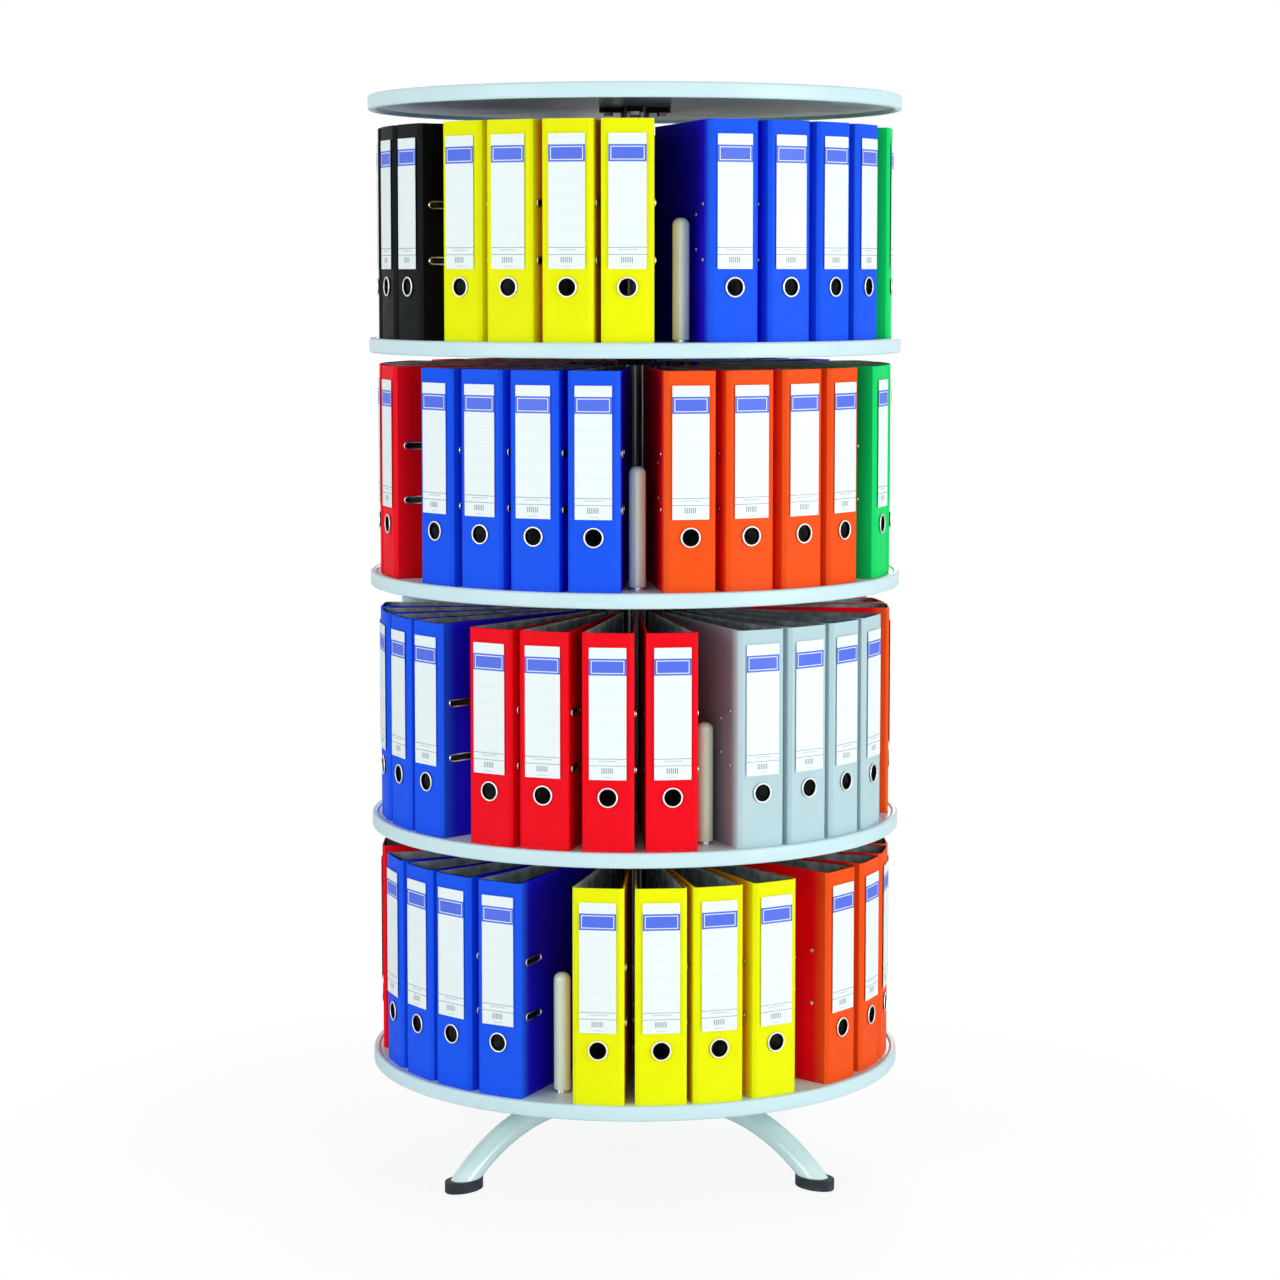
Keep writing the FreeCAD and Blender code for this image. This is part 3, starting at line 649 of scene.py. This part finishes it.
def makeDisc(name, body, node, height, hole):
    # a round board, and the moulded band round its edge
    outer, inside, thick = disc["radius"], disc["radius"] - disc["bandWidth"], disc["board"]
    foot, top, corner = -disc["skirt"], thick + disc["lip"], disc["round"]
    land = outer - corner - disc["land"]
    (bevel, rise), (inwards, down) = disc["footStep"], disc["topStep"]
    profile = [(inside, foot + rise), (inside + bevel, foot)]
    profile += arc((outer - corner, foot + corner), corner, -90, 0, 6)
    profile += [(outer, (foot + top) / 2)]
    profile += arc((outer - corner, top - corner), corner, 0, 90, 6)
    profile += [(land, top), (land - inwards, top - down)]
    profile += [(inside, thick - disc["seat"]), (inside, thick / 2)]
    lift = Vector((0, 0, height))
    band = Blank().add(lathe(profile, disc["steps"], closed=True), Matrix.Translation(lift))
    band.spots = [corner - lift for corner in band.corners]
    makePiece(f"{name}_band", body, band, [finishes["band"]], [f"{node}_rim"], sharp=60)
    reach = inside - disc["gap"]
    board = lathe([(hole, 0), (reach, 0), (reach, thick), (hole, thick)], disc["steps"] // 2, closed=hole > 0)
    # the second finish is the underside's, a darker bluer copy of the top's laminate as painted shade
    board.finish = [1 if all(board.corners[c].z < 0.1 for c in face) else 0 for face in board.faces]
    plate = Blank().add(board, Matrix.Translation(lift))
    makePiece(f"{name}_plate", body, plate, [finishes["boardTop"], finishes["boardUnderShaded"]],
              [f"{node}_board"], edge=disc["boardEdge"])


stop = {
    "radius": 12.5,
    "height": 168,
    "capHeight": 12.5,
    "crown": 1.5,  # flat at the middle of the cap's dome
    "seam": 0.35,  # groove between the shaft and its cap
    "chamfer": 0.8,  # at the shaft's lower end
    "footRadius": 12,
    "footHeight": 5,
    "swell": 1.5,  # radius of the turned foot's bulge
    "footIn": (0.5, 0.8),  # below the bulge: inwards, up
    "neckIn": (0.8, 0.7),  # above the bulge: inwards, down from the foot's top
    "reach": 332,  # column's axis to the stop's
}


def makeStops(number, body, height, angle):
    # the round uprights of one shelf, each with a plated foot and a domed cap
    r, foot, seam, chamfer = stop["radius"], stop["footHeight"], stop["seam"], stop["chamfer"]
    shaft = lathe([(0, foot), (r - chamfer, foot), (r, foot + chamfer), (r, stop["height"] - seam),
                   (r - seam, stop["height"]), (0, stop["height"])])
    ring, swell = stop["footRadius"], stop["swell"]
    bulge = arc((ring - swell, foot / 2), swell, -80, 80, 8)
    (below, rise), (above, drop) = stop["footIn"], stop["neckIn"]
    footPart = lathe([(0, 0), (ring - below, 0), (ring - below, rise)] + bulge +
                     [(ring - above, foot - drop), (ring - above, foot), (0, foot)], finish=1)
    bend = r - stop["crown"]
    dome = arc((stop["crown"], stop["capHeight"] - bend), bend, 0, 90, 8)
    cap = lathe([(0, 0), (r - seam, 0), (r, seam)] + dome + [(0, stop["capHeight"])])
    shafts, caps = Blank(), Blank()
    for section in range(shelves["sections"]):
        turn, tone = angle + sectionAngle * section, section / shelves["sections"]
        move = turned(turn, height, -stop["reach"])
        shafts.add(shaft, move, tone=tone).add(footPart, move)
        caps.add(cap, turned(turn, height + stop["height"], -stop["reach"]), tone=tone)
    makePiece(f"stops_{number}", body, shafts, [finishes["stop"], finishes["chrome"]],
              [f"shelf_{number}_stops"])
    makePiece(f"stop_caps_{number}", body, caps, [finishes["cap"]],
              [f"shelf_{number}_stop_caps"])


def coverFrame(side):
    # a cover's own frame: X runs from the fold to the fore edge, Y up the file, Z outwards
    fold = Vector((side * fileCase["halfWidth"], fileCase["bevel"][1] - fileCase["reach"], 0))
    tail = Vector((side * fileCase["tailHalf"], fileCase["depth"] - fileCase["reach"], 0))
    along, up = (tail - fold).normalized(), Vector((0, 0, 1))
    outwards = up.cross(along) * -side
    place = Matrix((along, up, outwards)).transposed().to_4x4()
    place.translation = fold
    return place


spineFrame = Matrix(((1, 0, 0, 0), (0, 0, -1, -fileCase["reach"]), (0, 1, 0, 0), (0, 0, 0, 1)))


def placeOnCover(side, along, up, out=0):
    # along from the fold, up from the middle of the file's height
    return coverFrame(side) @ Matrix.Translation((along, fileCase["height"] / 2 + up, out))


def slotPlaces():
    return [placeOnCover(1, fileCase["slotMiddle"], side * fileCase["slotGap"] / 2) for side in (-1, 1)]


def stadium(length, width, steps=8):
    half, r = (length - width) / 2, width / 2
    return arc((half, 0), r, -90, 90, steps) + arc((-half, 0), r, 90, 270, steps)


def makeCase():
    # one folded board with its finger hole and the two slots in its front cover
    half, reach, board = fileCase["halfWidth"], fileCase["reach"], fileCase["board"]
    flat, fold = half - fileCase["bevel"][0], fileCase["bevel"][1] - reach
    tail = fileCase["depth"] - reach
    corners = [(-fileCase["tailHalf"], tail), (-half, fold), (-flat, -reach), (flat, -reach), (half, fold),
               (fileCase["tailHalf"], tail)]
    outer = softCorners(corners, fileCase["fold"])
    inner = []
    for number, point in enumerate(outer):
        before, after = outer[max(number - 1, 0)], outer[min(number + 1, len(outer) - 1)]
        along = (after - before).normalized()
        inner.append(point + Vector((-along.y, along.x)) * board)
    case = slab([tuple(p) for p in outer] + [tuple(p) for p in reversed(inner)], 0, fileCase["height"])
    body = bpy.data.objects.new("case", makeMesh("case", case))
    hole = arc((0, fileCase["holeHeight"]), fileCase["holeRadius"] + fileCase["holeRoom"], 0, 354, 59)
    deep = fileCase["cut"]
    cutters = Blank().add(slab(hole, -deep, deep), spineFrame)
    for place in slotPlaces():
        cutters.add(slab(stadium(*fileCase["slot"]), -deep, deep), place)
    cutter = bpy.data.objects.new("cutter", makeMesh("cutter", cutters))
    for thing in (body, cutter):
        scene.collection.objects.link(thing)
    cut = body.modifiers.new("holes", "BOOLEAN")
    cut.object, cut.solver = cutter, "EXACT"
    made = body.evaluated_get(bpy.context.evaluated_depsgraph_get()).to_mesh()
    part = Blank()
    part.corners = [vertex.co / mm for vertex in made.vertices]
    # faces on the inner side get the second finish, the lining
    for face in made.polygons:
        part.faces.append(list(face.vertices))
        middle, out = face.center / mm, face.normal
        onSpine = middle.y < fold - 3
        inside = out.y > 0.5 if onSpine else out.x * middle.x < -1 and abs(out.x) > 0.5
        part.finish.append(1 if inside else 0)
    for thing in (body, cutter):
        bpy.data.objects.remove(thing)
    return part


fileRing = {
    # beyond the finger hole's radius, and over the spine
    "bead": (2.6, 0),
    "beadRadius": 1.15,
    "throat": ((-0.2, -4), (0.1, 0.35), (1.9, 0.5), (1.9, 0.05), (0.4, -0.1)),
}


def makeRing():
    # the pressed ring round the finger hole: a bright bead, and a throat made black as painted shade for the
    # dark inside of the hole
    r, (out, up) = fileCase["holeRadius"], fileRing["bead"]
    place = spineFrame @ Matrix.Translation((0, fileCase["holeHeight"], 0))
    bead = arc((r + out, up), fileRing["beadRadius"], 180, 0, 8)
    throat = [(r + beyond, over) for beyond, over in fileRing["throat"]]
    part = Blank().add(lathe(bead, closed=True, finish=2), place)
    return part.add(lathe(throat, closed=True, finish=1), place)


eyelet = {
    "rim": 1.2,  # radius of the rolled rim
    "rimOver": 0.2,  # over the cover
    "rimWider": 1,  # rim's line wider than the slot
    "throat": 1.3,
    "throatOver": -1.2,
    "throatFlat": 0.5,
}


def makeEyelets():
    # pressed metal rims of the slots
    part = Blank()
    length, width = fileCase["slot"]
    wider = eyelet["rimWider"]
    rim = [Vector((x, y, eyelet["rimOver"])) for x, y in stadium(length + wider, width + wider, 10)]
    throat = [Vector((x, y, eyelet["throatOver"])) for x, y in stadium(length, width, 10)]
    for place in slotPlaces():
        part.add(tube(rim, eyelet["rim"], closed=True), place)
        part.add(tube(throat, eyelet["throat"], 6, closed=True, flat=eyelet["throatFlat"]), place)
    return part


rivet = {
    "head": ((0, -0.6), (1.1, -0.6), (1.3, 0.5), (2.0, 0.9), (2.9, 0.5), (3.2, -0.05), (0, -0.3)),
    "pairs": ((25, 80), (60, 50)),  # from the fold, and the gap between upper and lower
}


def makeRivets():
    # hollow rivets that hold the mechanism to the back cover
    head, part = lathe(rivet["head"], 14), Blank()
    for along, gap in rivet["pairs"]:
        for side in (-1, 1):
            part.add(head, placeOnCover(-1, along, side * gap / 2))
    return part


mechanism = {
    # along from the fold, up the cover from its middle, and inwards
    "plate": ((17, -46), (40, -46), (68, -31), (68, 31), (40, 46), (17, 46)),
    "plateLift": 0.1,
    "plateThickness": 1.1,
    "plateCorner": 3,
    "archGap": 80,
    "archNear": 32,
    "archFar": 66,
    "archTop": 44,
    "archFoot": 1,
    "wire": 1.7,
    "post": ((0, 0), (3.4, 0), (3.4, 12), (2.4, 13), (0, 13)),  # socket of the near leg: radius, height
    "lever": ((22, 0, 5), (23, 0, 13), (34, 0, 17), (58, 0, 18), (64, 6, 20)),
    "leverHalf": 3.2,  # half its width
    "leverFlat": 0.35,
    "axle": ((38, -43, 4.5), (38, 43, 4.5)),
    "axleRadius": 2.2,
    "roller": ((0, -5), (3.6, -5), (3.6, 5), (0, 5)),
    "rollerPlace": (62, 0, 19),
}


def makeMechanism():
    # base plate, two arches and the lever, on the inside of the back cover
    part = Blank()
    inwards = placeOnCover(-1, 0, 0, -fileCase["board"]) @ Matrix.Diagonal((1, 1, -1, 1))
    plate = [tuple(p) for p in softCorners(mechanism["plate"], mechanism["plateCorner"], 3, closed=True)]
    lift = mechanism["plateLift"]
    part.add(slab(plate, lift, lift + mechanism["plateThickness"]), inwards)
    near, far, top = mechanism["archNear"], mechanism["archFar"], mechanism["archTop"]
    foot, bend = mechanism["archFoot"], (far - near) / 2
    for side in (-1, 1):
        up = side * mechanism["archGap"] / 2
        curve = arc((near + bend, top - bend), bend, 180, 0, 10)
        path = [Vector((x, up, z)) for x, z in [(near, foot), *curve, (far, foot)]]
        part.add(tube(path, mechanism["wire"]), inwards)
        part.add(lathe(mechanism["post"], 12), inwards @ Matrix.Translation((near, up, foot)))
    lever, axle = [[Vector(point) for point in mechanism[name]] for name in ("lever", "axle")]
    part.add(tube(lever, mechanism["leverHalf"], flat=mechanism["leverFlat"]), inwards)
    part.add(tube(axle, mechanism["axleRadius"]), inwards)
    lying = Matrix.Translation(mechanism["rollerPlace"]) @ Matrix.Rotation(math.pi / 2, 4, "X")
    part.add(lathe(mechanism["roller"], 12), inwards @ lying)
    return part


def makeLabel():
    half, low, high, lift = label["halfWidth"], label["bottom"], label["top"], label["lift"]
    corners = [(-half, low), (half, low), (half, high), (-half, high)]
    outline = [tuple(p) for p in softCorners(corners, label["corner"], 3, closed=True)]
    return Blank().add(slab(outline, lift, lift + label["thickness"]), spineFrame)


shelves = {
    "angle": {1: 11.5, 2: 0.6, 3: 17.9, 4: -18.9},  # each shelf turned about the column, degrees
    "stopGap": 7.2,  # degrees kept free at a stop
    "sections": 6,
    "inSection": 4,
    "order": "ABCADC",  # colours of the sections
    "colours": {
        1: {"A": "blue", "B": "green", "C": "yellow", "D": "black"},
        2: {"A": "orange", "B": "green", "C": "blue", "D": "red"},
        3: {"A": "grey", "B": "orange", "C": "red", "D": "blue"},
        4: {"A": "yellow", "B": "orange", "C": "blue", "D": "red"},
    },
    "play": 1.05,  # degrees a file can move round before it meets the next
    "strays": {  # shares of the play by which each loose file is off its even place
        1: {"A": (-0.5, -0.2, -0.2, 0.0), "B": (0.4, 0.3, 0.6, 0.2),
            "C": (-1.5, -2.2, -2.2, -2.7), "D": (0.6, 0.9, 1.2, 0.4)},
        2: {"A": (0.8, 1.1, 1.3, 1.1), "B": (0.3, 0.6, 0.2, 0.4),
            "C": (1.0, 1.2, 1.0, 0.9), "D": (-0.4, -0.9, -1.1, -1.5)},
        3: {"A": (-0.1, -0.9, -1.7, -1.8), "B": (0.5, 0.2, 0.4, -0.2),
            "C": (-0.6, -1.0, -0.2, 0.2), "D": (0.2, 0.7, 1.1, 0.5)},
        4: {"A": (0.8, 1.0, 0.4, 0.7), "B": (0.5, 1.0, 0.8, 0.3),
            "C": (-0.7, -0.4, -1.2, -1.4), "D": (0.3, -0.3, 0.4, 0.1)},
    },
}

print("folding a file")
sectionAngle = 360 / shelves["sections"]
filePitch = (sectionAngle - shelves["stopGap"]) / shelves["inSection"]
parts = {"case": makeCase(), "ring": makeRing(), "eyelets": makeEyelets(), "rivets": makeRivets(),
         "mechanism": makeMechanism(), "label": makeLabel()}
for part in parts.values():
    part.spots = list(part.corners)


def fillShelf(number, body, height):
    # the files of one shelf, all of a colour in one set of pieces
    dice = random.Random(number)
    for letter, colour in shelves["colours"][number].items():
        cases, cards, metal, works = Blank(), Blank(), Blank(), Blank()
        sections = [section for section, owner in enumerate(shelves["order"]) if owner == letter]
        for section, step in itertools.product(sections, range(shelves["inSection"])):
            start = shelves["angle"][number] + sectionAngle * section + shelves["stopGap"] / 2
            stray = shelves["strays"][number][letter][step] * shelves["play"]
            move, tone = turned(start + (step + 0.5) * filePitch + stray, height), dice.random()
            cases.add(parts["case"], move, tone=tone)
            cards.add(parts["label"], move, tone=tone)
            for name in ("ring", "eyelets", "rivets"):
                metal.add(parts[name], move, tone=tone)
            works.add(parts["mechanism"], move, tone=tone)
        node, tag = f"shelf_{number}_files_{colour}", f"{number}_{colour}"
        makePiece(f"cases_{tag}", body, cases, [films[colour], finishes["lining"]], [node],
                  edge=fileCase["edge"])
        makePiece(f"labels_{tag}", body, cards, [finishes["card"]])
        makePiece(f"file_metal_{tag}", body, metal,
                  [finishes["nickel"], finishes["throat"], finishes["bead"]])
        makePiece(f"mechanisms_{tag}", body, works, [finishes["zinc"]])


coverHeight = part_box("cover_board")[0].z / mm
makeDisc("cover", "stand", "cover", coverHeight, 0)
for number in shelves["angle"]:
    body, height = f"shelf_{number}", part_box(f"shelf_{number}_board")[0].z / mm
    makeDisc(body, body, body, height, disc["hubHole"])
    makeStops(number, body, height + disc["board"], shelves["angle"][number])
    fillShelf(number, body, height + disc["board"])
    print("shelf", number, "loaded")


kept = {
    # finishes of the pieces that keep the frame's own mesh
    "leg": paintedSteel("leg_paint", colourOf(228, 252, 251), 0.12, 0.12, colourOf(216, 242, 242)),
    "shoe": rubberyBlack(),
    "hub": paintedSteel("hub_paint", colourOf(10, 11, 12), 0.5, 0.5, colourOf(18, 19, 20), 0, 0.1),
    # painted shade: the column's chrome is tinted dark so it looks shaded among the files
    "column": frameMetal("column_chrome", colourOf(72, 75, 78), 0.14),
    "screw": frameMetal("screw_steel", colourOf(120, 118, 112), 0.3),
    "bush": paintedSteel("bush_plastic", colourOf(214, 196, 158), 0.3, 0.2),
}
# the first word found in a node's name settles its finish
keptWords = {"leg_shoes": "shoe", "leg": "leg", "screw": "screw", "bolt": "screw", "bush": "bush",
             "hub": "hub", "collar": "hub", "column": "column"}
for name, node in nodes.items():
    word = next((word for word in keptWords if word in name), None)
    if word:
        for place in node.material_slots:
            place.material = kept[keptWords[word]]
print("frame pieces finished")


floorSetting = {
    "radius": 9000,
    "rings": (300, 700, 1500),  # where its mesh is parted
    "fade": (0.45, 1.1),  # metres from the column at which it melts into the background
    "glow": 0.88,  # share of the background's white in it near the column
}


def makeFloor(setting):
    floor = newFinish("floor")
    place = floor.place()
    x, y = floor.split(place)[:2]
    reach = (x * x + y * y).power(0.5)
    grain = floor.noise(place, 30, 3)
    shade = floor.blend(grain * 0.4, (0.9, 0.91, 0.91, 1), (0.87, 0.88, 0.88, 1))
    surface = floor.node("ShaderNodeBsdfPrincipled", values={"Base Color": shade, "Roughness": 0.55})
    glow = floor.node("ShaderNodeEmission", values={"Color": (1, 1, 1, 1), "Strength": 1.0})
    seen = floor.node("ShaderNodeLightPath", out="Is Camera Ray")
    share = (reach.fade(*setting["fade"]) * (1 - setting["glow"]) + setting["glow"]) * seen
    mixed = floor.node("ShaderNodeMixShader", values={0: share, 1: surface, 2: glow})
    floor.node("ShaderNodeOutputMaterial", values={"Surface": mixed})
    ground = lathe([(radius, 0) for radius in (0, *setting["rings"], setting["radius"])], 64)
    piece = bpy.data.objects.new("floor", makeMesh("floor", ground))
    piece.data.materials.append(floor.owner)
    scene.collection.objects.link(piece)


def makeWorld(level):
    # soft light from all sides at a low level, and white wherever the camera or a mirror sees it
    world = Finish(bpy.data.worlds.new("studio"))
    seen, mirrored, through = world.node("ShaderNodeLightPath", out=(
        "Is Camera Ray", "Is Glossy Ray", "Is Transmission Ray"))
    sky = world.node("ShaderNodeBackground", values={"Color": (1, 1, 1, 1), "Strength": level})
    backdrop = world.node("ShaderNodeBackground", values={"Color": (1, 1, 1, 1), "Strength": 1.0})
    direct = seen.top(mirrored).top(through)
    mixed = world.node("ShaderNodeMixShader", values={0: direct, 1: sky, 2: backdrop})
    world.node("ShaderNodeOutputWorld", values={"Surface": mixed})
    scene.world = world.owner


worldLevel = 0.2
lampAim = (0, 0, 0.85)  # metres
lamps = {
    # place and size in metres, power in watts
    "left": {"place": (-3.4, -2.7, 1.5), "size": 2.2, "power": 74},
    "right": {"place": (3.7, -2.2, 1.4), "size": 2.2, "power": 100},
    "top": {"place": (0, -0.6, 4.2), "size": 2.6, "power": 28},
    "front": {"place": (-0.3, -5.2, 0.9), "size": 3.2, "power": 44},
    "back": {"place": (0.5, 4.6, 2.2), "size": 1.6, "power": 64},
}


def makeLamps():
    for name, lamp in lamps.items():
        data = bpy.data.lights.new(name, "AREA")
        data.size, data.energy = lamp["size"], lamp["power"]
        light = bpy.data.objects.new(name, data)
        light.location = lamp["place"]
        aim = Vector(lampAim) - Vector(lamp["place"])
        light.rotation_euler = aim.to_track_quat("-Z", "Y").to_euler()
        scene.collection.objects.link(light)


makeFloor(floorSetting)
makeWorld(worldLevel)
makeLamps()
print("floor, world and lamps placed")
